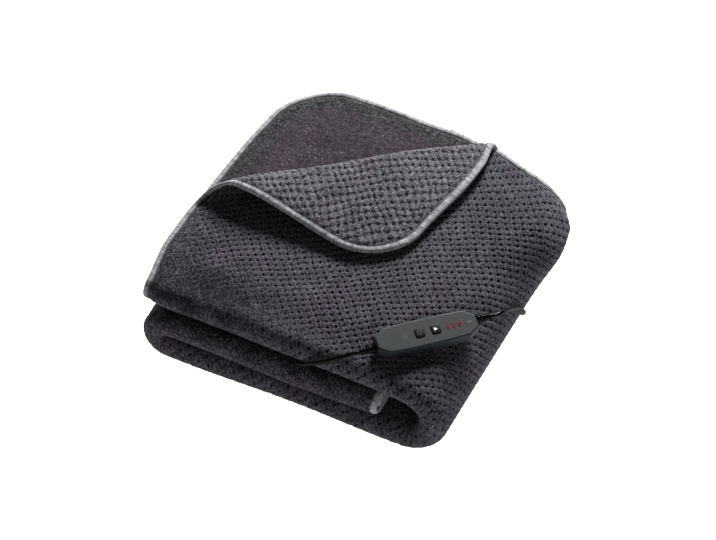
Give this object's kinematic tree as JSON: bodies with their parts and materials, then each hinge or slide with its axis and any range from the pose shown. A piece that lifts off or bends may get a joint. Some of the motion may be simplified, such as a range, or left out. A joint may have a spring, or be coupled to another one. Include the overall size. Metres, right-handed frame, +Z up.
{
  "type": "electric heated blanket",
  "caption": "Folded charcoal plush electric heated blanket with a satin binding, one corner turned back, a corded handset and a coiled mains lead.",
  "frame": {"origin": "middle of the underside of the folded blanket's box, on the floor, without the cords", "axes": "+X along the folded front towards the mains lead's side, +Y from the rolled front to the hems at the back, +Z up out of the stack"},
  "size_m": [0.4757, 0.5691, 0.1538],
  "materials": {
    "plush": "matte",
    "satin_tape": "satin",
    "housing": "satin",
    "button": "satin",
    "light": "gloss",
    "cord_jacket": "satin",
    "pin_metal": "polished"
  },
  "bodies": {
    "root": {"blanket": "plush", "binding": "satin_tape", "controller_base": "housing", "controller_cover": "housing", "level_light_1": "light", "level_light_2": "light", "level_light_3": "light", "blanket_cord_relief": "cord_jacket", "mains_lead_relief": "cord_jacket", "blanket_cord": "cord_jacket", "mains_lead": "cord_jacket", "mains_lead_coil": "cord_jacket", "cord_tie": "cord_jacket", "plug_tail": "cord_jacket", "plug_body": "cord_jacket", "plug_pin_left": "pin_metal", "plug_pin_right": "pin_metal"},
    "power_button": {"power_button": "button"},
    "heat_button": {"heat_button": "button"}
  },
  "joints": [
    {"name": "power_button_press", "type": "slide", "parent": "root", "child": "power_button", "axis": [-0.1853, 0.0695, -0.9802], "range_m": [0, 0.0008], "stiffness_N_per_m": 600},
    {"name": "heat_button_press", "type": "slide", "parent": "root", "child": "heat_button", "axis": [-0.1853, 0.0695, -0.9802], "range_m": [0, 0.0008], "stiffness_N_per_m": 600}
  ]
}
